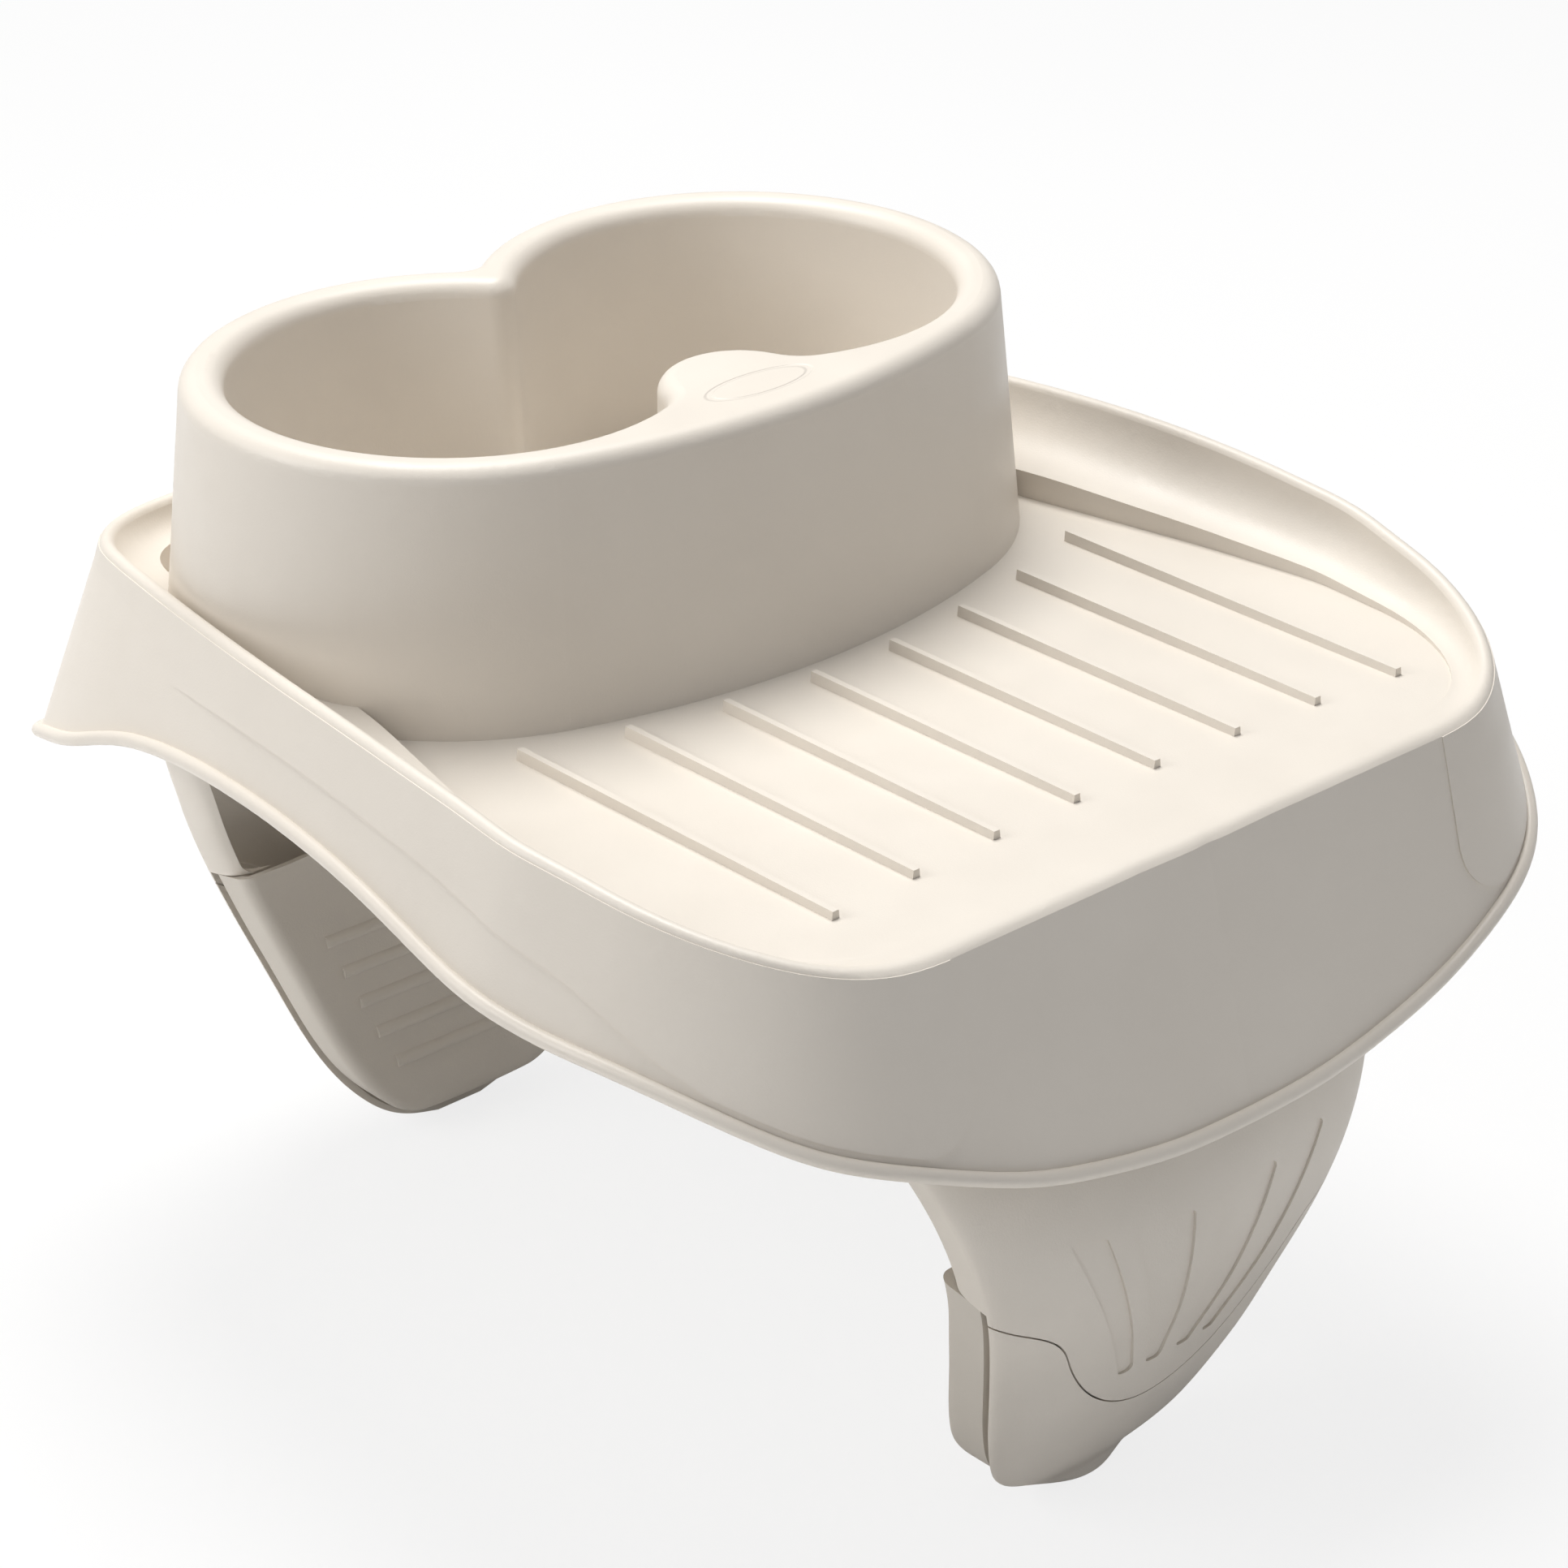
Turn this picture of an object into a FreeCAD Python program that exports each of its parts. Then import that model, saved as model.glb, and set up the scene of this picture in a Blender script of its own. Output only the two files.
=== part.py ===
"""Hot tub tray: a moulded tray with a heart-shaped double cup holder and two clamping legs.

Frame: millimetres, +Z up. The origin lies on the tray floor, on the centre plane, under the
front edge of the cup holder's rim. +X points from the cup holder to the open front edge.
"""
import FreeCAD, Part
import math
import os

from FreeCAD import Placement, Rotation, Vector

UP = Vector(0, 0, 1)

# Driving dimensions: alias, value in millimetres (or plain number), what it is
SIZES = [
    ("frontEdge", 121.5, "x of the straight front edge at floor level"),
    ("frontHalf", 74.0, "half the length of the straight front edge"),
    ("sideApex", 37.5, "x of the widest place of the tray"),
    ("halfWidth", 130.0, "half width of the tray there, at floor level"),
    ("sideRadius", 520.0, "plan radius of the long sides"),
    ("rearStart", -118.0, "x where the rear corners start"),
    ("rearEdge", -150.0, "x of the rear edge on the centre plane"),
    ("rearHalf", 70.0, "half the length of the rear edge"),
    ("rearBow", 3.0, "how far the rear edge bows out"),
    ("floorThick", 3.0, "thickness of the floor"),
    ("skirtThick", 2.6, "thickness of the skirt"),
    ("skirtFlare", 0.28, "outward lean of the skirt for each millimetre down"),
    ("rimThick", 3.2, "width of the rounded rim on the walls"),
    ("rimPeak", 20.0, "height of the side rim at its highest"),
    ("rimPeakAt", -24.0, "x where the side rim is highest"),
    ("rimRear", 12.5, "height of the rim at the rear"),
    ("shelfInset", 27.0, "how far in the inner step line lies at the cup holder"),
    ("shelfFront", 7.0, "how far in the inner step line lies at the front edge"),
    ("shelfHigh", 6.5, "height of the inner step beside the cup holder"),
    ("lipFront", 59.6, "depth of the skirt's lip at the middle of the front"),
    ("lipCorner", 47.0, "depth of the lip at the front corners"),
    ("lipShoulder", 20.5, "depth of the lip where the front of the side arch starts"),
    ("lipArch", 7.4, "depth of the lip at the top of the side arch"),
    ("lipRearSide", 27.8, "depth of the lip where the rear corners start"),
    ("lipRear", 49.0, "depth of the lip at the middle of the rear"),
    ("cornerReach", 3.2, "how much further out the skirt's foot stands at the rear corners"),
    ("beadHigh", 3.2, "height of the bead along the lip"),
    ("beadOut", 1.7, "how far the bead stands out"),
    ("creaseStep", 0.5, "how far the upper side panels stand proud"),
    ("creaseHalf", 73.5, "half the gap between the two panel edges on the front face"),
    ("creaseLow", 37.0, "depth of the panel edge at the front corners"),
    ("creaseRadius", 12.0, "radius of the panel's lower front corner"),
    ("wellRadius", 51.0, "inside radius of each cup well at the rim"),
    ("wellSpacing", 41.5, "distance of each well's axis from the centre plane"),
    ("cupRim", 9.6, "width of the cup holder's rounded rim"),
    ("cupHigh", 60.0, "height of the cup holder above the floor"),
    ("cupDraft", 6.0, "how far its outer wall leans out from rim to floor"),
    ("wellDraft", 2.0, "how far the well's wall leans in from rim to floor"),
    ("cupWall", 2.6, "wall thickness of the cup holder"),
    ("cupEdge", 4.2, "rounding of the rim's edges"),
    ("lobeBack", 67.5, "distance of the wells' axes behind the holder's front edge"),
    ("plateNose", -38.5, "x of the nose of the plate between the wells"),
    ("noseRadius", 18.0, "radius of that nose"),
    ("flankRadius", 10.0, "radius that blends the nose into the wells"),
    ("outerCusp", 6.0, "rounding of the cusp in the holder's rear face"),
    ("cuspRadius", 5.4, "rounding of the rear cusp between the wells"),
    ("ribCount", 8, "number of floor ribs"),
    ("ribPitch", 24.0, "distance between floor ribs"),
    ("ribShift", 4.0, "how far the row of ribs lies off the centre plane"),
    ("ribWide", 2.2, "width of a rib at its foot"),
    ("ribTop", 1.6, "width of a rib at its top"),
    ("ribHigh", 2.2, "height of a rib"),
    ("ribStart", 12.5, "x of the ribs' rear ends on the centre plane"),
    ("ribStartRadius", 240.0, "radius of the arc through the ribs' rear ends"),
    ("ribEnd", 92.5, "x of the ribs' front ends on the centre plane"),
    ("ribEndRadius", 860.0, "radius of the arc through the ribs' front ends"),
    ("legMiddle", -19.5, "x of the axis that the two legs share"),
    ("legFoot", 170.0, "depth of a leg's lower end"),
    ("legWall", 2.4, "wall thickness of the leg mouldings"),
    ("legGap", 0.4, "gap between leg mouldings that meet"),
    ("tongueReach", 5.0, "how far the arm's lip runs down behind the shoe's edge"),
    ("armSeat", 0.3, "gap between a leg's top and the floor above it"),
    ("armTop", 10.0, "height of the collar that holds a leg's top"),
    ("collarThick", 2.2, "thickness of that collar"),
    ("legHalf", 76.0, "half width of a leg at its top"),
    ("legOut", 106.0, "x of the front leg's outer face at its top"),
    ("padDeep", 16.5, "how far the grip pad bulges inwards"),
    ("padCorner", 4.5, "radius of the pad's long corners"),
    ("padRound", 16.0, "height over which the pad rounds off towards the foot"),
    ("padLift", 4.5, "how far the pad's foot ends above the shoe's"),
    ("padLiftHigh", 45.0, "height over which the pad's foot is drawn up"),
    ("armBend", 0.5, "how boxy the arm's inner side is: 1 is an ellipse, less is squarer"),
    ("padSlit", 2.4, "slit between the pad and the shoe"),
    ("padReach", 2.5, "how far the pad's locating rim reaches past the parting plane"),
    ("padSlope", 5.0, "how far the pad's top edge slopes down towards the slit"),
    ("padInset", 0.6, "how far the pad's outline lies inside the leg's"),
    ("padTop", 90.0, "depth of the pad's top edge"),
    ("padWave", 3.0, "rise of the wave in that edge"),
    ("gripCount", 5, "number of grip ribs on a pad"),
    ("gripPitch", 8.3, "distance between grip ribs"),
    ("gripTop", 113.5, "depth of the top grip rib"),
    ("gripRadius", 1.6, "radius of a grip rib"),
    ("gripEndMargin", 12.7, "distance from a grip rib's end to the pad's side"),
    ("windowMargin", 3.4, "width of the arm's inner flanges beside the window"),
    ("seamSide", 97.0, "depth of the seam between arm and shoe at the leg's sides"),
    ("seamShoulder", 107.5, "depth of the seam's shoulder"),
    ("seamBowl", 140.0, "depth of the bottom of the seam's bowl"),
    ("seamBowlHalf", 36.0, "half width of the seam's bowl at the shoulder"),
    ("fanDeep", 0.7, "depth of the fan's recesses"),
    ("fanTop", 84.5, "depth of the fan's top edge"),
    ("fanFoot", 127.0, "depth of the fan's foot"),
]


def make_sheet(doc):
    """Put the driving dimensions in the spreadsheet, one aliased cell each."""
    sheet = doc.addObject("Spreadsheet::Sheet", "Sizes")
    for row, (alias, value, meaning) in enumerate(SIZES, start=1):
        sheet.set("A%d" % row, meaning)
        sheet.set("B%d" % row, str(value))
        sheet.setAlias("B%d" % row, alias)
    doc.recompute()
    return sheet


doc = FreeCAD.newDocument("HotTubTray")
sheet = make_sheet(doc)


def size(alias):
    """Value of a driving dimension, read from the spreadsheet."""
    return float(sheet.get(alias))


# Small curve helpers
def spline(points, start=None, end=None):
    """Smooth edge through the points, with end directions where they are given."""
    curve = Part.BSplineCurve()
    if start is None or end is None:
        curve.interpolate(points)
    else:
        curve.interpolate(Points=points, InitialTangent=start, FinalTangent=end)
    return curve.toShape()


def law(keys, where):
    """Smooth value between (place, value) keys: a cubic with the slopes of its neighbours."""
    last = len(keys) - 1
    if where <= keys[0][0]:
        return keys[0][1]
    if where >= keys[last][0]:
        return keys[last][1]
    slopes = []
    for i in range(last + 1):
        before = keys[max(i - 1, 0)]
        after = keys[min(i + 1, last)]
        slopes.append((after[1] - before[1]) / (after[0] - before[0]))
    slopes[0] = 0.0
    slopes[last] = 0.0
    i = max(k for k in range(last) if keys[k][0] <= where)
    span = keys[i + 1][0] - keys[i][0]
    u = (where - keys[i][0]) / span
    return (
        keys[i][1] * (1 - 3 * u**2 + 2 * u**3)
        + keys[i + 1][1] * (3 * u**2 - 2 * u**3)
        + slopes[i] * span * (u - 2 * u**2 + u**3)
        + slopes[i + 1] * span * (u**3 - u**2)
    )


# Plan of the tray at floor level, as edges along the half with y >= 0
def side_point(x):
    """Point of the long side's arc at x."""
    radius = size("sideRadius")
    drop = radius - math.sqrt(radius**2 - (x - size("sideApex")) ** 2)
    return Vector(x, size("halfWidth") - drop, 0)


def half_plan():
    """Edges of the plan's half from the middle of the front round to the middle of the rear."""
    front = Vector(size("frontEdge"), size("frontHalf"), 0)
    apex = Vector(size("sideApex"), size("halfWidth"), 0)
    reach = front.x - apex.x
    drop = apex.y - front.y
    corner = []
    for turn in (75, 60, 45, 30, 15):
        angle = math.radians(turn)
        across = math.cos(angle) ** 0.84
        corner.append(Vector(apex.x + reach * math.sin(angle), front.y + drop * across, 0))
    rear = side_point(size("rearStart"))
    lean = math.asin((size("sideApex") - rear.x) / size("sideRadius"))
    tail = Vector(size("rearEdge") + size("rearBow"), size("rearHalf"), 0)
    middle = Vector(size("rearEdge"), 0, 0)
    middle_side = side_point((apex.x + rear.x) / 2)
    bow = 2 * size("rearBow") / size("rearHalf")
    return [
        Part.makeLine(Vector(front.x, 0, 0), front),
        spline([front] + corner + [apex], Vector(0, 60, 0), Vector(-60, 0, 0)),
        Part.Arc(apex, middle_side, rear).toShape(),
        spline(
            [rear, tail],
            Vector(-50 * math.cos(lean), -50 * math.sin(lean), 0),
            Vector(-50 * bow, -50, 0),
        ),
        spline([tail, middle], Vector(-70 * bow, -70, 0), Vector(0, -70, 0)),
    ]


def stations(edges, counts):
    """Places along the edges: (distance run, point, outward direction)."""
    places = []
    run = 0.0
    for edge, count in zip(edges, counts):
        first, last = edge.ParameterRange
        for i in range(count):
            share = i / count
            at = edge.getParameterByLength(edge.Length * share)
            point = edge.valueAt(at)
            along = edge.tangentAt(at)
            places.append((run + edge.Length * share, point, Vector(along.y, -along.x, 0)))
        run += edge.Length
    end = edges[-1]
    along = end.tangentAt(end.ParameterRange[1])
    places.append((run, end.valueAt(end.ParameterRange[1]), Vector(along.y, -along.x, 0)))
    return places


PLAN = half_plan()
PLAN_COUNTS = [5, 8, 10, 5, 5]
RUNS = [0.0]
for plan_edge in PLAN:
    RUNS.append(RUNS[-1] + plan_edge.Length)


def run_at(part, share):
    """Distance run at a share of one of the plan's edges."""
    return RUNS[part] + share * (RUNS[part + 1] - RUNS[part])


def rim_height(point):
    """Height of the rim's top over the floor at a place of the plan."""
    peak = size("rimPeak")
    if point.x >= size("rimPeakAt"):
        s = (point.x - size("rimPeakAt")) / (size("frontEdge") - size("rimPeakAt"))
        return peak * max(1 - s * s, 0.0) ** 0.85
    s = (point.x - size("rimPeakAt")) / (size("rearEdge") - size("rimPeakAt"))
    return size("rimRear") + (peak - size("rimRear")) * (1 - s * s)


def lip_depth(run):
    """Depth of the skirt's lip under the floor at a distance along the plan."""
    front = size("lipFront")
    corner = size("lipCorner")
    shoulder = size("lipShoulder")
    arch = size("lipArch")
    side = size("lipRearSide")
    rear = size("lipRear")
    keys = [
        (run_at(0, 0.0), front),
        (run_at(0, 0.25), front - 0.5),
        (run_at(0, 0.5), front - 2.7),
        (run_at(0, 0.8), corner + 5.1),
        (run_at(1, 0.0), corner),
        (run_at(1, 0.12), corner - 6.2),
        (run_at(1, 0.25), corner - 11.8),
        (run_at(1, 0.37), shoulder + 9.0),
        (run_at(1, 0.5), shoulder + 4.1),
        (run_at(1, 0.62), shoulder + 1.4),
        (run_at(1, 0.75), shoulder),
        (run_at(1, 0.88), shoulder - 2.5),
        (run_at(2, 0.0), arch + 8.2),
        (run_at(2, 0.1), arch + 4.6),
        (run_at(2, 0.2), arch + 1.8),
        (run_at(2, 0.32), arch + 0.1),
        (run_at(2, 0.45), arch),
        (run_at(2, 0.6), arch + 1.8),
        (run_at(2, 0.7), arch + 4.2),
        (run_at(2, 0.8), arch + 8.1),
        (run_at(2, 0.9), side - 6.3),
        (run_at(3, 0.0), side),
        (run_at(3, 0.2), side + 3.8),
        (run_at(3, 0.4), rear - 12.0),
        (run_at(3, 0.6), rear - 7.0),
        (run_at(3, 0.8), rear - 3.5),
        (run_at(4, 0.0), rear - 1.5),
        (run_at(4, 1.0), rear),
    ]
    return law(keys, run)


def corner_reach(run):
    """How much further out the skirt's foot stands round the rear corners."""
    keys = [
        (run_at(0, 0.0), 0.0),
        (run_at(2, 0.5), 0.0),
        (run_at(2, 0.8), 0.35),
        (run_at(3, 0.0), 0.8),
        (run_at(3, 0.35), 1.0),
        (run_at(3, 0.8), 0.8),
        (run_at(4, 0.3), 0.35),
        (run_at(4, 1.0), 0.0),
    ]
    return size("cornerReach") * max(law(keys, run), 0.0)


def step_inset(run):
    """How far in from the plan the inner step line lies."""
    keys = [
        (run_at(0, 0.0), size("shelfFront")),
        (run_at(1, 0.0), size("shelfFront") + 1.0),
        (run_at(1, 0.5), 12.0),
        (run_at(2, 0.0), 19.0),
        (run_at(2, 0.5), size("shelfInset")),
        (run_at(3, 0.0), 20.0),
        (run_at(4, 0.0), 13.0),
        (run_at(4, 1.0), 12.0),
    ]
    return law(keys, run)


def step_height(point):
    """Height of the inner step, which fades out towards the front edge."""
    fade = (size("frontEdge") - point.x) / (size("frontEdge") - size("rimPeakAt"))
    return 0.3 + (size("shelfHigh") - 0.3) * min(max(fade, 0.0), 1.0) ** 1.3


def wall_section(run, point, out):
    """Closed section of the tray's edge: floor margin, step, wall, rim, skirt and lip bead."""

    def at(outward, height):
        return point + out * outward + UP * height

    flare = size("skirtFlare")
    rim = max(rim_height(point), 0.0)
    step = min(step_height(point), 0.3 + 0.45 * rim)
    inset = step_inset(run)
    depth = lip_depth(run)
    thick = size("floorThick")
    under = size("skirtThick")
    outer_rim = -flare * rim
    inner_rim = outer_rim - size("rimThick")
    raised = min(rim / 5.0, 1.0)
    level = 0.3 * (1.0 - raised)
    top_drop = 1.2
    foot_out = flare * depth + corner_reach(run)
    bead = size("beadHigh")
    proud = size("beadOut")
    buried = 1.0
    core = max(0.55 * rim - thick, -thick - 0.4)
    step_top = at(-inset, step)
    rim_in = at(inner_rim, rim - top_drop * raised + level)
    rim_out = at(outer_rim + flare * top_drop, rim - top_drop)
    crown = at((inner_rim + outer_rim) / 2, rim + 0.25 * raised + 0.4 * level)
    hollow = at(
        inner_rim - 0.30 * (inset + inner_rim),
        step + 0.30 * (rim - top_drop * raised + level - step),
    )
    bead_top = at(foot_out - flare * bead, -depth + bead)
    bead_mid = at(foot_out + proud, -depth + 0.45 * bead)
    bead_low = at(foot_out + 0.2, -depth)
    inner_low = at(foot_out - under, -depth)
    inner_high = at(-flare * core - under, core)
    return [
        at(-inset - 2.0, -2 * buried),
        at(-inset - 2.0, -buried),
        at(-inset, -buried),
        step_top,
        hollow,
        rim_in,
        crown,
        rim_out,
        bead_top,
        bead_mid,
        bead_low,
        inner_low,
        inner_high,
        at(-0.8 * inset, -thick - 0.3),
    ]


def section_wire(points):
    """Wire of a wall section: straight edges, with curves for the wall, the rim and the bead."""
    a, b, c, d, hollow, rim_in, crown, rim_out = points[:8]
    bead_top, bead_mid, bead_low, low, high, under = points[8:]
    wall = Part.BSplineCurve()
    wall.interpolate([d, hollow, rim_in])
    edges = [
        Part.makeLine(a, b),
        Part.makeLine(b, c),
        Part.makeLine(c, d),
        wall.toShape(),
        Part.Arc(rim_in, crown, rim_out).toShape(),
        Part.makeLine(rim_out, bead_top),
        Part.Arc(bead_top, bead_mid, bead_low).toShape(),
        Part.makeLine(bead_low, low),
        Part.makeLine(low, high),
        Part.makeLine(high, under),
        Part.makeLine(under, a),
    ]
    return Part.Wire(edges)


def largest(shape):
    """The largest solid of a shape that a cut has parted."""
    return max(shape.Solids, key=lambda solid: solid.Volume)


def mirrored(shape):
    """The shape's mirror image over the centre plane."""
    return shape.mirror(Vector(0, 0, 0), Vector(0, 1, 0))


def edge_wall():
    """The whole raised edge and skirt of the tray, lofted through its sections."""
    sections = []
    for run, point, out in stations(PLAN, PLAN_COUNTS):
        sections.append(section_wire(wall_section(run, point, out)))
    half = Part.makeLoft(sections, True, False, False)
    return half.fuse(mirrored(half))


def floor_plate():
    """The flat floor, reaching a little way under the inner step."""
    outline = []
    for run, point, out in stations(PLAN, PLAN_COUNTS):
        outline.append(point - out * (step_inset(run) - 1.0))
    back = [Vector(p.x, -p.y, 0) for p in reversed(outline[1:-1])]
    curve = Part.BSplineCurve()
    curve.interpolate(Points=outline + back, PeriodicFlag=True)
    plate = Part.Face(Part.Wire(curve.toShape())).extrude(UP * -size("floorThick"))
    return plate


# Upper side panels, a thin step proud of the skirt, bounded by the crease line
def panel_skin():
    """A thin skin just proud of the skirt's outer face, on one half."""
    flare = size("skirtFlare")
    proud = size("creaseStep")
    sink = 1.5
    sections = []
    for run, point, out in stations(PLAN, PLAN_COUNTS):
        rim = max(rim_height(point), 0.0)
        depth = lip_depth(run)
        high = rim - 1.2
        low = -depth + 1.5 * size("beadHigh")
        top_out = point + out * (-flare * high) + UP * high
        low_out = point + out * (-flare * low) + UP * low
        corners = [
            top_out + out * (0.5 * proud),
            low_out + out * proud,
            low_out - out * sink,
            top_out - out * sink,
        ]
        sections.append(Part.makePolygon(corners + corners[:1]))
    return Part.makeLoft(sections, True, False, False)


def above_crease():
    """Everything above the crease line, as seen from the side, in the half y > 0."""
    places = [
        (-170, -20),
        (-107, -2),
        (-70, 4.1),
        (-42, 6.1),
        (-9, 6.3),
        (15.5, 4.6),
        (38, 1.3),
        (57.5, -3.4),
        (74.5, -8.3),
        (88.5, -15),
        (104, -23),
        (115, -31),
        (125, -36),
        (145, -size("creaseLow")),
    ]
    line = spline([Vector(x, 0, z) for x, z in places])
    first = line.valueAt(line.FirstParameter)
    last = line.valueAt(line.LastParameter)
    roof = 60.0
    sides = Part.makePolygon([last, Vector(last.x, 0, roof), Vector(first.x, 0, roof), first])
    return Part.Face(Part.Wire([line] + sides.Edges)).extrude(Vector(0, 200, 0))


def beside_crease():
    """Everything outside the crease's upright edge, with its rounded lower corner."""
    half = size("creaseHalf")
    low = -size("creaseLow")
    r = size("creaseRadius")
    far = 200.0
    x = -200.0
    bend = math.sqrt(0.5)
    arc_start = Vector(x, half, low + r)
    arc_middle = Vector(x, half + r - r * bend, low + r - r * bend)
    arc_end = Vector(x, half + r, low)
    outline = Part.Wire(
        [
            Part.Arc(arc_start, arc_middle, arc_end).toShape(),
            Part.makeLine(arc_end, Vector(x, far, low)),
            Part.makeLine(Vector(x, far, low), Vector(x, far, 60)),
            Part.makeLine(Vector(x, far, 60), Vector(x, half, 60)),
            Part.makeLine(Vector(x, half, 60), arc_start),
        ]
    )
    return Part.Face(outline).extrude(Vector(400, 0, 0))


def side_panels():
    """The two proud upper panels."""
    panel = panel_skin().common(above_crease()).common(beside_crease())
    return panel.fuse(mirrored(panel))


# Cup holder
def lobe_axis():
    """Plan position of the axis of the cup well with y > 0."""
    return Vector(-size("lobeBack"), size("wellSpacing"), 0)


def heart_wire(grow, height):
    """Outline of the cup holder, grown outwards by grow, at a height."""
    lobe = lobe_axis() + UP * height
    radius = size("wellRadius") + size("cupRim") + grow
    reach = grow - lobe.x
    arc_radius = (reach**2 + lobe.y**2 - radius**2) / (2 * (reach - radius))
    arc_centre = Vector(grow - arc_radius, 0, height)
    away = (lobe - arc_centre).normalize()
    touch = lobe + away * radius
    cusp = Vector(lobe.x - math.sqrt(radius**2 - lobe.y**2), 0, height)
    back_turn = math.radians(120)
    far = lobe + Vector(radius * math.cos(back_turn), radius * math.sin(back_turn), 0)
    nose = Vector(grow, 0, height)
    touch_low = Vector(touch.x, -touch.y, height)
    far_low = Vector(far.x, -far.y, height)
    return Part.Wire(
        [
            Part.Arc(touch_low, nose, touch).toShape(),
            Part.Arc(touch, far, cusp).toShape(),
            Part.Arc(cusp, far_low, touch_low).toShape(),
        ]
    )


def heart_block(inset, low, high):
    """Solid inside the cup holder's leaning outer wall, moved in by inset."""
    lean = size("cupDraft") / size("cupHigh")
    top = heart_wire(lean * (size("cupHigh") - high) - inset, high)
    foot = heart_wire(lean * (size("cupHigh") - low) - inset, low)
    return Part.makeLoft([foot, top], True, True, False)


def upright_edges(shape, place, reach):
    """The shape's steep edges whose middles lie near a place of the plan."""
    found = []
    for edge in shape.Edges:
        box = edge.BoundBox
        middle = edge.CenterOfMass
        near = math.hypot(middle.x - place.x, middle.y - place.y) < reach
        if near and box.ZLength > 0.8 * shape.BoundBox.ZLength:
            found.append(edge)
    return found


def well_block(inset, low, high, rounded):
    """Solid that fills the two joined cup wells, made smaller by inset."""
    lean = size("wellDraft") / size("cupHigh")
    top = size("wellRadius") - inset - lean * (size("cupHigh") - high)
    foot = size("wellRadius") - inset - lean * (size("cupHigh") - low)
    lobe = lobe_axis()
    wells = []
    for side in (1, -1):
        at = Vector(lobe.x, side * lobe.y, low)
        wells.append(Part.makeCone(foot, top, high - low, at, UP))
    nose_at = Vector(size("plateNose") + size("noseRadius"), 0, low)
    nose = Part.makeCylinder(size("noseRadius") + inset, high - low, nose_at, UP)
    block = wells[0].fuse(wells[1]).cut(nose).removeSplitter()
    block = largest(block)
    if not rounded:
        return block
    cusp_at = Vector(lobe.x - math.sqrt(size("wellRadius") ** 2 - lobe.y**2), 0, 0)
    block = block.makeFillet(size("cuspRadius"), upright_edges(block, cusp_at, 6.0))
    flank = upright_edges(block, nose_at, 2.0 * size("noseRadius"))
    return block.makeFillet(size("flankRadius"), flank)


def cup_holder():
    """The double-walled heart-shaped holder, solid between its walls, with a rounded rim."""
    high = size("cupHigh")
    block = heart_block(0.0, -1.5, high)
    cusp_at = Vector(-size("lobeBack") - 43.0, 0, 0)
    block = block.makeFillet(size("outerCusp"), upright_edges(block, cusp_at, 9.0))
    block = block.cut(well_block(0.0, -3.0, high + 1.0, True))
    rim = [edge for edge in block.Edges if edge.BoundBox.ZMin > high - 0.01]
    return block.makeFillet(size("cupEdge"), rim)


def holder_hollow():
    """The space between the holder's two walls, open from below."""
    wall = size("cupWall")
    low = -size("floorThick") - 2.0
    high = size("cupHigh") - wall
    space = heart_block(wall, low, high).cut(well_block(-wall, low - 1, high + 1, False))
    return largest(space)


# Floor ribs
def floor_rib(y):
    """One raised rib on the floor, tapering a little towards the front edge."""
    start_radius = size("ribStartRadius")
    end_radius = size("ribEndRadius")
    start = size("ribStart") - start_radius + math.sqrt(start_radius**2 - y**2)
    end = size("ribEnd") + end_radius - math.sqrt(end_radius**2 - y**2)
    sections = []
    for x, high in ((start, 1.15 * size("ribHigh")), (end, 0.85 * size("ribHigh"))):
        foot = size("ribWide") / 2
        top = size("ribTop") / 2
        corners = [
            Vector(x, y - foot, -0.5),
            Vector(x, y + foot, -0.5),
            Vector(x, y + top, high),
            Vector(x, y - top, high),
        ]
        sections.append(Part.makePolygon(corners + corners[:1]))
    return Part.makeLoft(sections, True, True, False)


def rib_places():
    """y of each floor rib."""
    count = int(size("ribCount"))
    return [(i - (count - 1) / 2) * size("ribPitch") + size("ribShift") for i in range(count)]


# Legs: the front leg is drawn in place, the rear leg is the same one turned round
def leg_half(depth):
    """Half width of a leg at a depth under the floor."""
    keys = [
        (3, 76),
        (30, 75),
        (50, 72),
        (65, 66),
        (80, 60),
        (95, 54.5),
        (110, 49.5),
        (125, 44.4),
        (137, 40.5),
        (148, 36),
        (157, 30.5),
        (164, 23.5),
        (168, 15.5),
        (170, 7),
    ]
    return law(keys, depth) + size("legHalf") - 76


def leg_face(depth):
    """x of a leg's outer face at a depth, on the centre plane."""
    keys = [
        (3, 106),
        (30, 112),
        (50, 118),
        (65, 123.5),
        (80, 127),
        (95, 126.7),
        (110, 123.5),
        (125, 117.7),
        (137, 112.8),
        (148, 107.3),
        (157, 102.5),
        (170, 94.5),
    ]
    return law(keys, depth) + size("legOut") - 106


def leg_parting(depth):
    """x of the plane at a depth where a leg's outer and inner halves meet."""
    keys = [
        (3, 97),
        (30, 102),
        (50, 107),
        (65, 112),
        (80, 115.5),
        (95, 115.5),
        (110, 111.6),
        (125, 106.8),
        (137, 102.8),
        (148, 98.8),
        (157, 95.4),
        (170, 90),
    ]
    return law(keys, depth) + size("legOut") - 106


def inner_bulge(depth, inset):
    """How far a leg's inner side stands in from the parting plane; it rounds off at the foot."""
    start = size("legFoot") - size("padRound")
    share = min(max((depth - start) / size("padRound"), 0.0), 1.0)
    return max(size("padDeep") * math.sqrt(1.0 - share * share) - inset, 0.8)


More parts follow.
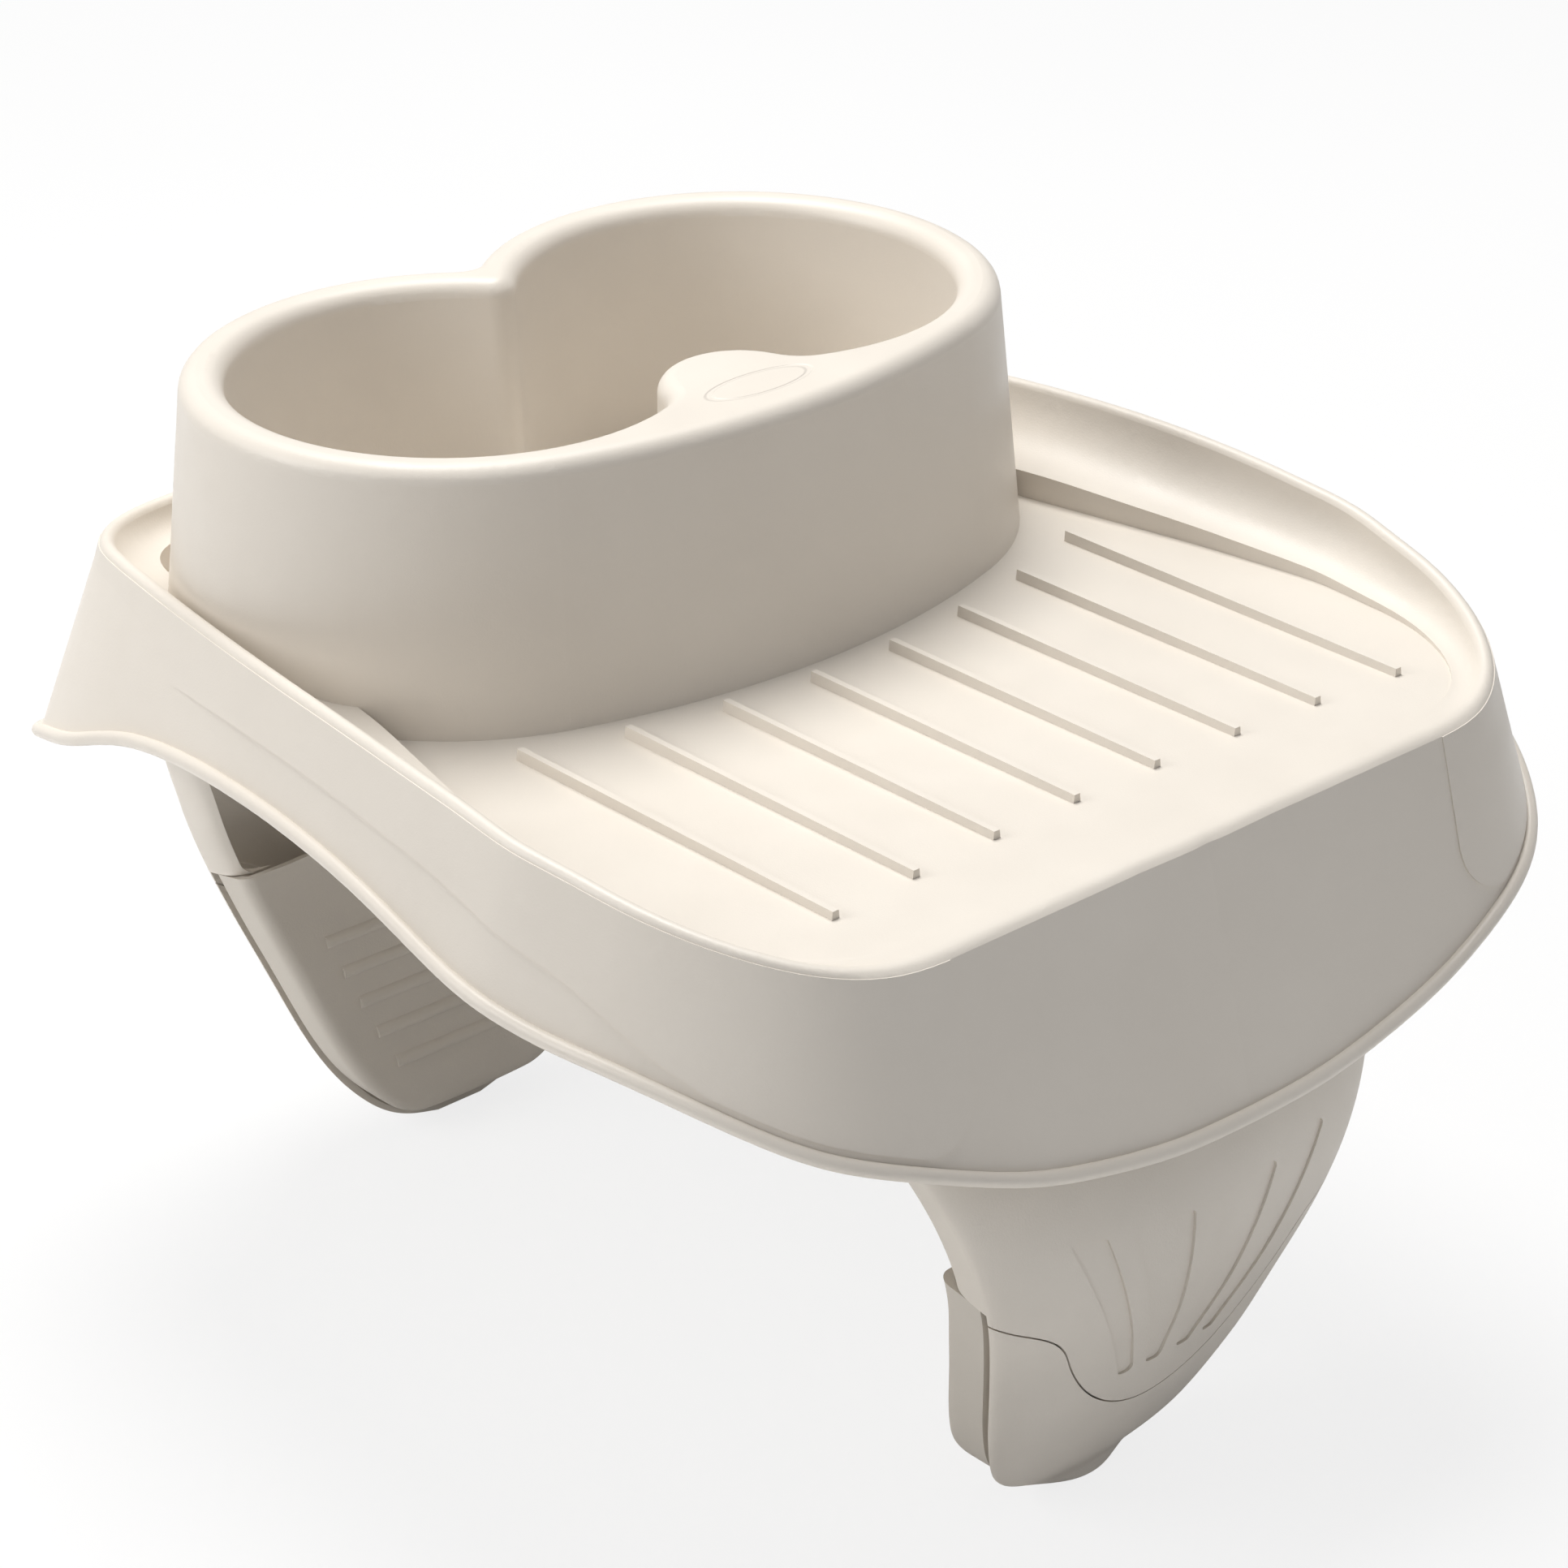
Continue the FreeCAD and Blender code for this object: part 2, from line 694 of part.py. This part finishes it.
def leg_curve(depth, side, inset, lift=0.0):
    """Curved side of a leg's section: side 1 is the outer face, side -1 the inner one."""
    base = leg_parting(depth)
    half = leg_half(depth + lift) - inset
    bulge = max(leg_face(depth) - base - inset, 0.8)
    bend = 1.0
    if side < 0:
        bulge = inner_bulge(depth, inset)
        bend = size("armBend")
    count = 13
    points = []
    for i in range(count):
        angle = math.radians(-90 + 180 * i / (count - 1))
        across = math.copysign(abs(math.sin(angle)) ** bend, angle) * half
        out = 0.0
        if 0 < i < count - 1:
            out = math.cos(angle) ** bend * bulge
        points.append(Vector(base + side * out, across, -depth))
    curve = Part.BSplineCurve()
    curve.interpolate(Points=points, Parameters=[i / (count - 1) for i in range(count)])
    return curve.toShape()


def pad_lift(depth):
    """How far the pad's outline is drawn up at a depth, so that it ends above the shoe's."""
    low = size("legFoot") - size("padLiftHigh")
    return size("padLift") * max((depth - low) / size("padLiftHigh"), 0.0) ** 2


def pad_edges(depth, inset):
    """Inner side of a leg's section at the pad: side walls, rounded corners and a bowed face."""
    base = leg_parting(depth)
    half = leg_half(depth + pad_lift(depth)) - inset
    deep = inner_bulge(depth + pad_lift(depth), inset)
    radius = min(max(size("padCorner") - inset, 1.0), 0.4 * half, 0.4 * deep)
    soft = radius * (1.0 - math.sqrt(0.5))
    face = base - deep + 0.05 * deep

    def corner(side):
        start = Vector(face + radius, side * half, -depth)
        middle = Vector(face + soft, side * (half - soft), -depth)
        end = Vector(face, side * (half - radius), -depth)
        return start, middle, end

    far = corner(1)
    near = corner(-1)
    return [
        Part.makeLine(Vector(base, half, -depth), far[0]),
        Part.Arc(*far).toShape(),
        Part.Arc(far[2], Vector(base - deep, 0, -depth), near[2]).toShape(),
        Part.Arc(near[2], near[1], near[0]).toShape(),
        Part.makeLine(near[0], Vector(base, -half, -depth)),
    ]


def leg_block(inset, top, foot, padded=False):
    """Whole leg between two depths, moved in by inset, with the arm's or the pad's inner side."""
    count = 19
    sections = []
    for i in range(count):
        crowded = 1.0 - (1.0 - i / (count - 1)) ** 1.5
        depth = top + (foot - top) * crowded
        outer = leg_curve(depth, 1, inset)
        inner = [leg_curve(depth, -1, inset)]
        if padded:
            outer = leg_curve(depth, 1, inset, pad_lift(depth))
            inner = pad_edges(depth, inset)
        sections.append(Part.Wire([outer] + inner))
    return Part.makeLoft(sections, True, False, False)


def inner_side(shift):
    """Block of everything on the inner side of the leg's parting plane, moved by shift."""
    points = []
    for i in range(13):
        depth = -8.0 + 16.0 * i
        points.append(Vector(leg_parting(depth) + shift, -200, -depth))
    line = spline(points)
    corners = [points[-1], Vector(0, -200, points[-1].z), Vector(0, -200, points[0].z), points[0]]
    outline = Part.Wire([line] + Part.makePolygon(corners).Edges)
    return Part.Face(outline).extrude(Vector(0, 400, 0))


PAST_FOOT = 2 * size("legFoot")


def leg_top():
    """Depth of a leg's flat top."""
    return size("floorThick") + size("armSeat")


def leg_shell(inset, padded=False):
    """Hollow closed leg, moved in by inset."""
    wall = size("legWall")
    foot = size("legFoot") - inset
    full = leg_block(inset, leg_top(), foot, padded)
    return full.cut(leg_block(inset + wall, leg_top() + wall, foot - wall, padded))


def seam_points():
    """Points (y, depth) of the seam between arm and shoe, for y >= 0, from the side inwards."""
    side = size("seamSide")
    shoulder = size("seamShoulder")
    bowl = size("seamBowl")
    half = size("seamBowlHalf")
    return [
        (2.4 * half, side - 4),
        (2.0 * half, side - 3),
        (1.6 * half, side - 1),
        (1.4 * half, side + 0.25 * (shoulder - side)),
        (1.14 * half, shoulder - 3),
        (half, shoulder + 1.5),
        (0.89 * half, shoulder + 8),
        (0.79 * half, shoulder + 13.6),
        (0.58 * half, bowl - 10),
        (0.33 * half, bowl - 3.4),
        (0.0, bowl),
    ]


def seam_line(drop):
    """The seam's curve in the plane x = 0, moved down at right angles to itself."""
    half = seam_points()
    places = half + [(-y, depth) for y, depth in reversed(half[:-1])]
    line = spline([Vector(0, y, -depth) for y, depth in places])
    if drop == 0.0:
        return line
    moved = []
    first, last = line.ParameterRange
    count = 41
    for i in range(count):
        at = first + (last - first) * i / (count - 1)
        along = line.tangentAt(at)
        normal = Vector(0, along.z, -along.y)
        if normal.z > 0:
            normal = normal * -1
        moved.append(line.valueAt(at) + normal * drop)
    return spline(moved)


def slab_under(line, depth):
    """Block through the whole leg between a line in the plane x = 0 and a lower depth."""
    first = line.valueAt(line.FirstParameter)
    last = line.valueAt(line.LastParameter)
    corners = [last, Vector(0, last.y, -depth), Vector(0, first.y, -depth), first]
    outline = Part.Wire([line] + Part.makePolygon(corners).Edges)
    return Part.Face(outline).extrude(Vector(200, 0, 0))


def pad_room(drop, shift):
    """Block under the pad's top edge, which waves and slopes down towards the parting plane."""
    deep = size("padDeep")
    inner = []
    outer = []
    for i in range(-9, 10):
        y = 10.0 * i
        rise = size("padWave") * math.cos(math.radians(min(abs(y) * 2.0, 90.0))) ** 2
        z = -(size("padTop") + drop - rise)
        near = leg_parting(size("padTop")) - deep
        inner.append(Vector(near - 60, y, z))
        outer.append(Vector(near + deep + 10, y, z - size("padSlope") * 1.6))
    mid = [Vector(a.x + 55, a.y, a.z) for a in inner]
    sections = []
    for row in (inner, mid, outer):
        low = [Vector(row[-1].x, row[-1].y, -PAST_FOOT), Vector(row[0].x, row[0].y, -PAST_FOOT)]
        sides = Part.makePolygon([row[-1]] + low + [row[0]])
        sections.append(Part.Wire([spline(row)] + sides.Edges))
    return Part.makeLoft(sections, True, True, False).common(inner_side(shift))


def arm_window():
    """Prism that opens the arm's inner side between its two flanges."""
    margin = size("windowMargin")
    top = leg_top() + size("armTop") + 1.0
    foot = size("padTop") + 2.0
    count = 7
    right = []
    for i in range(count):
        depth = top + (foot - top) * i / (count - 1)
        right.append(Vector(0, leg_half(depth) - margin, -depth))
    left = [Vector(0, -corner.y, corner.z) for corner in right]
    sides = [spline(right), Part.makeLine(right[-1], left[-1]), spline(left)]
    outline = Part.Wire(sides + [Part.makeLine(left[0], right[0])])
    prism = Part.Face(outline).extrude(Vector(200, 0, 0))
    across = [edge for edge in prism.Edges if edge.BoundBox.XLength > 100]
    return prism.makeFillet(4.0, across).common(inner_side(-1.0))


def fan_recesses():
    """Four shallow recesses that fan out from the foot of the arm's bowl."""
    top = size("fanTop")
    foot = size("fanFoot")
    deep = size("fanDeep")
    fields = [((4.2, top), (22.5, top - 1.5), 4.5), ((29.5, top - 2.5), (40.0, top - 5), 12.5)]
    prisms = []
    for side in (1, -1):
        for (near, near_top), (far, far_top), low in fields:
            corners = [
                Vector(0, side * near, -near_top),
                Vector(0, side * far, -far_top),
                Vector(0, side * (low + 2.1), -foot),
                Vector(0, side * (low - 2.1), -foot),
            ]
            prism = Part.Face(Part.makePolygon(corners + corners[:1])).extrude(Vector(200, 0, 0))
            across = [edge for edge in prism.Edges if edge.BoundBox.XLength > 100]
            prisms.append(prism.makeFillet(1.4, across))
    skin = leg_block(-1.0, 60, 140).cut(leg_block(deep, 55, 145)).cut(inner_side(2.0))
    return skin.common(Part.makeCompound(prisms))


def leg_arm():
    """Upper leg moulding: a channel open to the inside, then a bowl on the outer side."""
    arm = leg_shell(0.0).cut(slab_under(seam_line(0.0), PAST_FOOT))
    arm = arm.cut(pad_room(-size("legGap"), 0.0))
    arm = arm.cut(arm_window()).cut(fan_recesses())
    return arm.fuse(seam_tongue())


def seam_tongue():
    """Lip of the arm that runs down behind the shoe's edge and locates it."""
    wall = size("legWall")
    reach = size("tongueReach")
    shape = leg_block(wall - 0.3, 60, 160).cut(slab_under(seam_line(0.0), PAST_FOOT))
    shape = shape.fuse(leg_block(wall + size("legGap"), 60, 160))
    shape = shape.cut(leg_block(2 * wall, 55, 164))
    shape = shape.cut(slab_under(seam_line(reach), PAST_FOOT)).cut(above_line(seam_line(-reach)))
    return shape.cut(inner_side(size("padReach") + 1.0))


def above_line(line):
    """Block through the whole leg above a line in the plane x = 0."""
    return slab_under(line, -10.0)


def leg_shoe():
    """Lower outer moulding that closes the leg's foot."""
    foot = slab_under(seam_line(size("legGap")), PAST_FOOT)
    return leg_shell(0.0).common(foot).cut(inner_side(0.0))


def grip_rib(depth):
    """One rounded grip rib that follows the pad's curved face."""
    radius = size("gripRadius")
    reach = leg_half(depth) - size("gripEndMargin")
    sections = []
    for i in range(-4, 5):
        turn = math.radians(22.5 * i)
        inset = size("padInset") + 0.5 - radius * math.cos(turn)
        edges = pad_edges(depth + radius * math.sin(turn), inset)
        first = edges[0].valueAt(edges[0].FirstParameter)
        last = edges[-1].valueAt(edges[-1].LastParameter)
        sections.append(Part.Wire(edges + [Part.makeLine(last, first)]))
    ring = Part.makeLoft(sections, True, False, False)
    bar = Part.makeBox(200, 2 * reach, 2 * radius + 2, Vector(0, -reach, -depth - radius - 1))
    ends = [edge for edge in bar.Edges if edge.BoundBox.XLength > 100]
    bar = bar.makeFillet(radius, ends)
    core = leg_block(size("padInset") + 1.0, depth - 12, depth + 12, True)
    return largest(ring.common(bar).cut(core))


def leg_pad():
    """Grip pad that covers the leg's inner side, with its grip ribs and its locating rim."""
    slit = size("padSlit")
    wall = size("legWall")
    gap = size("legGap")
    pad = largest(leg_shell(size("padInset"), True).common(pad_room(0.0, -slit)))
    for i in range(int(size("gripCount"))):
        pad = pad.fuse(grip_rib(size("gripTop") + i * size("gripPitch")))
    top = size("seamSide") + 3
    foot = size("legFoot") - wall - gap
    rim = leg_block(wall + gap, top, foot, True)
    rim = rim.cut(leg_block(2 * wall + gap, top - 5, foot - wall, True))
    rim = rim.common(inner_side(size("padReach"))).cut(inner_side(-slit - 2.0))
    return pad.fuse(largest(rim))


def leg_collar():
    """Closed collar under the floor that holds the front leg's top."""
    gap = size("armSeat")
    grow = gap + size("collarThick")
    top = size("floorThick") - 0.5
    foot = leg_top() + size("armTop")
    return leg_block(-grow, top, foot).cut(leg_block(-gap, top - 1, foot + 1))


def turned(shape):
    """The shape turned half a turn round the legs' shared axis."""
    turned_shape = shape.copy()
    turned_shape.rotate(Vector(size("legMiddle"), 0, 0), UP, 180)
    return turned_shape


def tray():
    """The one-piece tray moulding."""
    ribs = [floor_rib(y) for y in rib_places()]
    body = edge_wall().fuse([floor_plate(), side_panels(), cup_holder()] + ribs)
    body = body.cut(holder_hollow())
    collar = leg_collar()
    return body.fuse([collar, turned(collar)])


# Sub-parts, each in its own node
def one_solid(shape, name):
    """The shape's only solid; anything else is a fault in the source."""
    solids = shape.Solids
    if len(solids) != 1:
        raise ValueError("%s has %d solids" % (name, len(solids)))
    return solids[0]


def add_node(name, shape, placement):
    """Add one sub-part to the document."""
    node = doc.addObject("Part::Feature", name)
    node.Shape = one_solid(shape, name)
    node.Label = name
    node.Placement = placement
    return node


HOME = Placement()
HALF_TURN = Placement(Vector(2 * size("legMiddle"), 0, 0), Rotation(UP, 180))

nodes = [add_node("tray_body", tray(), HOME)]
for piece, build in (("arm", leg_arm), ("shoe", leg_shoe), ("pad", leg_pad)):
    shape = build()
    nodes.append(add_node("front_" + piece, shape, HOME))
    nodes.append(add_node("rear_" + piece, shape, HALF_TURN))

doc.recompute()
for item in doc.Objects:
    if "Invalid" in item.State or "Error" in item.State:
        raise ValueError("%s did not compute" % item.Name)
for node in nodes:
    if node.Shape.isNull() or not node.Shape.isValid():
        raise ValueError("%s is not a valid solid" % node.Name)

os.makedirs("parts", exist_ok=True)
for node in nodes:
    node.Shape.exportStep(os.path.join("parts", node.Label + ".step"))
    print(node.Label, round(node.Shape.Volume / 1000.0, 1), "cm3")
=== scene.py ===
"""Looks of the hot tub tray: camera, studio light and moulded-plastic materials on the CAD nodes."""

import bpy
from mathutils import Matrix, Vector


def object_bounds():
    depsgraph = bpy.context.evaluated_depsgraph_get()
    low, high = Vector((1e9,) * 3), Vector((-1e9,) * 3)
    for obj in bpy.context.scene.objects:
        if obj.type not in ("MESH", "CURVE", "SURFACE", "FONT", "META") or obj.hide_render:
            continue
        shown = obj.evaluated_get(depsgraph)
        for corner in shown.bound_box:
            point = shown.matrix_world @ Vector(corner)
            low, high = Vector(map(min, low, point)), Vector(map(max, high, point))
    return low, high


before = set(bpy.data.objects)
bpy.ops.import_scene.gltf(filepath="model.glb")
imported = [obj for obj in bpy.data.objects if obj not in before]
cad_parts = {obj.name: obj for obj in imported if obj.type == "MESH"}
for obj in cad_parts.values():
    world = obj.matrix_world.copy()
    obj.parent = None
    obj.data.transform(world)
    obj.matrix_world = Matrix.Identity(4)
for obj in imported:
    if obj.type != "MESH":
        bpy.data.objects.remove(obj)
cad_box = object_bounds()
scene = bpy.context.scene

# Camera: place in metres, and its right, up and back directions, as fitted to the photograph
CAMERA_PLACE = Vector((0.6914, -0.6400, 0.4370))
CAMERA_RIGHT = Vector((0.6761, 0.7368, 0.0))
CAMERA_UP = Vector((-0.3286, 0.3015, 0.8950))
CAMERA_BACK = Vector((0.6594, -0.6051, 0.4460))
CAMERA_LENS = 107.7
CAMERA_SENSOR = 36.0

# Colours, linear
IVORY = (0.765, 0.712, 0.640)
IVORY_DEEP = (0.705, 0.650, 0.578)
# IVORY_LEG_PAINTED_SHADE is IVORY darkened with the same hue: painted shade on the legs
IVORY_LEG_PAINTED_SHADE = (0.630, 0.585, 0.522)
# IVORY_PAD_PAINTED_SHADE is darker still with the same hue: painted shade on the pads' inner faces
IVORY_PAD_PAINTED_SHADE = (0.560, 0.518, 0.460)

# Plain oval groove on the cup holder's plate: middle and half sizes in metres
OVAL_MIDDLE = (-0.0140, 0.0, 0.0600)
OVAL_HALF = (0.0052, 0.0140)

# Lamps: name, place in metres, size in metres, power in watts, colour
LAMPS = [
    ("overhead_soft", (-0.45, 0.20, 1.50), 1.00, 26.0, (1.0, 0.99, 0.97)),
    ("left_soft", (-0.55, -1.30, 0.75), 0.90, 9.5, (1.0, 0.99, 0.97)),
    ("right_fill", (1.60, 0.25, 0.35), 1.20, 1.0, (0.98, 0.99, 1.0)),
]


def make_camera():
    """Camera at the photograph's place and angle."""
    data = bpy.data.cameras.new("photo_camera")
    data.lens = CAMERA_LENS
    data.sensor_width = CAMERA_SENSOR
    data.clip_start = 0.05
    data.clip_end = 50.0
    camera = bpy.data.objects.new("photo_camera", data)
    scene.collection.objects.link(camera)
    turn = Matrix((CAMERA_RIGHT, CAMERA_UP, CAMERA_BACK)).transposed().to_4x4()
    camera.matrix_world = Matrix.Translation(CAMERA_PLACE) @ turn
    scene.camera = camera


def make_lamps():
    """Soft area lamps that all look at the tray."""
    target = Vector((0.0, 0.0, 0.0))
    for name, place, width, power, colour in LAMPS:
        data = bpy.data.lights.new(name, "AREA")
        data.shape = "DISK"
        data.size = width
        data.energy = power
        data.color = colour
        lamp = bpy.data.objects.new(name, data)
        scene.collection.objects.link(lamp)
        lamp.location = place
        lamp.rotation_euler = (target - lamp.location).to_track_quat("-Z", "Y").to_euler()


def make_world():
    """Soft neutral light all round, and plain white where the camera looks past the object."""
    world = bpy.data.worlds.new("studio")
    scene.world = world
    world.use_nodes = True
    nodes = world.node_tree.nodes
    links = world.node_tree.links
    nodes.clear()
    out = nodes.new("ShaderNodeOutputWorld")
    light = nodes.new("ShaderNodeBackground")
    light.inputs["Color"].default_value = (0.96, 0.97, 1.0, 1.0)
    light.inputs["Strength"].default_value = 0.30
    seen = nodes.new("ShaderNodeBackground")
    seen.inputs["Color"].default_value = (1.0, 1.0, 1.0, 1.0)
    seen.inputs["Strength"].default_value = 1.0
    path = nodes.new("ShaderNodeLightPath")
    mix = nodes.new("ShaderNodeMixShader")
    links.new(path.outputs["Is Camera Ray"], mix.inputs[0])
    links.new(light.outputs[0], mix.inputs[1])
    links.new(seen.outputs[0], mix.inputs[2])
    links.new(mix.outputs[0], out.inputs["Surface"])


def new_material(name):
    """Empty node material with its Principled shader."""
    material = bpy.data.materials.new(name)
    material.use_nodes = True
    shader = material.node_tree.nodes["Principled BSDF"]
    return material, material.node_tree, shader


def noise(tree, coords, scale, detail, rough=0.5):
    """Noise texture on the given coordinates."""
    node = tree.nodes.new("ShaderNodeTexNoise")
    node.inputs["Scale"].default_value = scale
    node.inputs["Detail"].default_value = detail
    node.inputs["Roughness"].default_value = rough
    tree.links.new(coords, node.inputs["Vector"])
    return node.outputs["Fac"]


def spread(tree, value, low, high):
    """Map a noise value's middle range to a range of its own."""
    node = tree.nodes.new("ShaderNodeMapRange")
    node.inputs["From Min"].default_value = 0.3
    node.inputs["From Max"].default_value = 0.7
    node.inputs["To Min"].default_value = low
    node.inputs["To Max"].default_value = high
    tree.links.new(value, node.inputs["Value"])
    return node.outputs["Result"]


def moulded_plastic(name, colour, deep, rough_low, rough_high, grain, dent):
    """Moulded plastic with a fine etched grain, faint flow mottling and uneven gloss."""
    material, tree, shader = new_material(name)
    coords = tree.nodes.new("ShaderNodeTexCoord").outputs["Object"]
    mottle = noise(tree, coords, 22.0, 3.0)
    mix = tree.nodes.new("ShaderNodeMix")
    mix.data_type = "RGBA"
    mix.inputs["A"].default_value = (*deep, 1.0)
    mix.inputs["B"].default_value = (*colour, 1.0)
    tree.links.new(spread(tree, mottle, 0.55, 1.0), mix.inputs["Factor"])
    tree.links.new(mix.outputs["Result"], shader.inputs["Base Color"])
    gloss = noise(tree, coords, 60.0, 4.0)
    tree.links.new(spread(tree, gloss, rough_low, rough_high), shader.inputs["Roughness"])
    fine = tree.nodes.new("ShaderNodeBump")
    fine.inputs["Strength"].default_value = grain
    fine.inputs["Distance"].default_value = 0.0002
    tree.links.new(noise(tree, coords, 1900.0, 2.0, 0.6), fine.inputs["Height"])
    broad = tree.nodes.new("ShaderNodeBump")
    broad.inputs["Strength"].default_value = dent
    broad.inputs["Distance"].default_value = 0.002
    tree.links.new(noise(tree, coords, 14.0, 2.0), broad.inputs["Height"])
    tree.links.new(fine.outputs["Normal"], broad.inputs["Normal"])
    tree.links.new(broad.outputs["Normal"], shader.inputs["Normal"])
    shader.inputs["Specular IOR Level"].default_value = 0.42
    return material


def math_node(tree, operation, first, second):
    """Math node on two inputs, each a socket or a plain number."""
    node = tree.nodes.new("ShaderNodeMath")
    node.operation = operation
    for place, value in enumerate((first, second)):
        if isinstance(value, float):
            node.inputs[place].default_value = value
        else:
            tree.links.new(value, node.inputs[place])
    return node.outputs["Value"]


def oval_groove(material):
    """Press a plain oval groove into the cup holder's plate, under the other bumps."""
    tree = material.node_tree
    shader = tree.nodes["Principled BSDF"]
    coords = tree.nodes.new("ShaderNodeTexCoord").outputs["Object"]
    parts = tree.nodes.new("ShaderNodeSeparateXYZ")
    tree.links.new(coords, parts.inputs["Vector"])
    squares = []
    for axis, middle, half in zip(("X", "Y"), OVAL_MIDDLE, OVAL_HALF):
        away = math_node(tree, "SUBTRACT", parts.outputs[axis], middle)
        share = math_node(tree, "DIVIDE", away, half)
        squares.append(math_node(tree, "MULTIPLY", share, share))
    reach = math_node(tree, "POWER", math_node(tree, "ADD", squares[0], squares[1]), 0.5)
    off = math_node(tree, "ABSOLUTE", math_node(tree, "SUBTRACT", reach, 1.0), 0.0)
    wall = tree.nodes.new("ShaderNodeMapRange")
    wall.interpolation_type = "SMOOTHSTEP"
    wall.inputs["From Min"].default_value = 0.03
    wall.inputs["From Max"].default_value = 0.11
    tree.links.new(off, wall.inputs["Value"])
    below = math_node(tree, "LESS_THAN", parts.outputs["Z"], OVAL_MIDDLE[2] - 0.004)
    groove = tree.nodes.new("ShaderNodeBump")
    groove.inputs["Strength"].default_value = 0.7
    groove.inputs["Distance"].default_value = 0.0004
    tree.links.new(math_node(tree, "MAXIMUM", wall.outputs["Result"], below), groove.inputs["Height"])
    last = shader.inputs["Normal"].links[0].from_socket
    tree.links.new(last, groove.inputs["Normal"])
    tree.links.new(groove.outputs["Normal"], shader.inputs["Normal"])


def tray_plastic():
    """Warm ivory of the tray, with the oval groove on its cup holder."""
    material = moulded_plastic("ivory_moulded", IVORY, IVORY_DEEP, 0.34, 0.48, 0.16, 0.05)
    oval_groove(material)
    return material


def leg_plastic():
    """Plastic of the legs, mottled towards a darker ivory that is painted shade."""
    return moulded_plastic("ivory_leg_painted_shade", IVORY, IVORY_LEG_PAINTED_SHADE, 0.40, 0.55, 0.22, 0.06)


def pad_plastic():
    """Softer, duller plastic of the grip pads, in a darker ivory that is painted shade."""
    return moulded_plastic("ivory_pad_painted_shade", IVORY_LEG_PAINTED_SHADE, IVORY_PAD_PAINTED_SHADE, 0.55, 0.70, 0.35, 0.08)


def dress_nodes():
    """Give every CAD node its material."""
    tray = tray_plastic()
    leg = leg_plastic()
    pad = pad_plastic()
    for name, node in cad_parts.items():
        material = tray
        if name.endswith("_arm") or name.endswith("_shoe"):
            material = leg
        if name.endswith("_pad"):
            material = pad
        for slot in node.material_slots:
            slot.material = material


def make_floor():
    """Plain pale floor under the legs."""
    low = cad_box[0][2]
    bpy.ops.object.select_all(action="DESELECT")
    bpy.ops.mesh.primitive_plane_add(size=12.0, location=(0.0, 0.0, low))
    floor = bpy.context.active_object
    floor.name = "studio_floor"
    material, tree, shader = new_material("floor_white")
    coords = tree.nodes.new("ShaderNodeTexCoord").outputs["Object"]
    ramp = spread(tree, noise(tree, coords, 3.0, 2.0), 0.86, 0.90)
    shade = tree.nodes.new("ShaderNodeCombineColor")
    for channel in ("Red", "Green", "Blue"):
        tree.links.new(ramp, shade.inputs[channel])
    tree.links.new(shade.outputs["Color"], shader.inputs["Base Color"])
    shader.inputs["Roughness"].default_value = 0.9
    white = tree.nodes.new("ShaderNodeEmission")
    white.inputs["Strength"].default_value = 1.0
    path = tree.nodes.new("ShaderNodeLightPath")
    share = tree.nodes.new("ShaderNodeMath")
    share.operation = "MULTIPLY"
    share.inputs[1].default_value = 0.80
    tree.links.new(path.outputs["Is Camera Ray"], share.inputs[0])
    mix = tree.nodes.new("ShaderNodeMixShader")
    tree.links.new(share.outputs["Value"], mix.inputs[0])
    tree.links.new(shader.outputs["BSDF"], mix.inputs[1])
    tree.links.new(white.outputs["Emission"], mix.inputs[2])
    tree.links.new(mix.outputs["Shader"], tree.nodes["Material Output"].inputs["Surface"])
    floor.data.materials.append(material)


scene.view_settings.view_transform = "Standard"
make_camera()
make_lamps()
make_world()
dress_nodes()
make_floor()
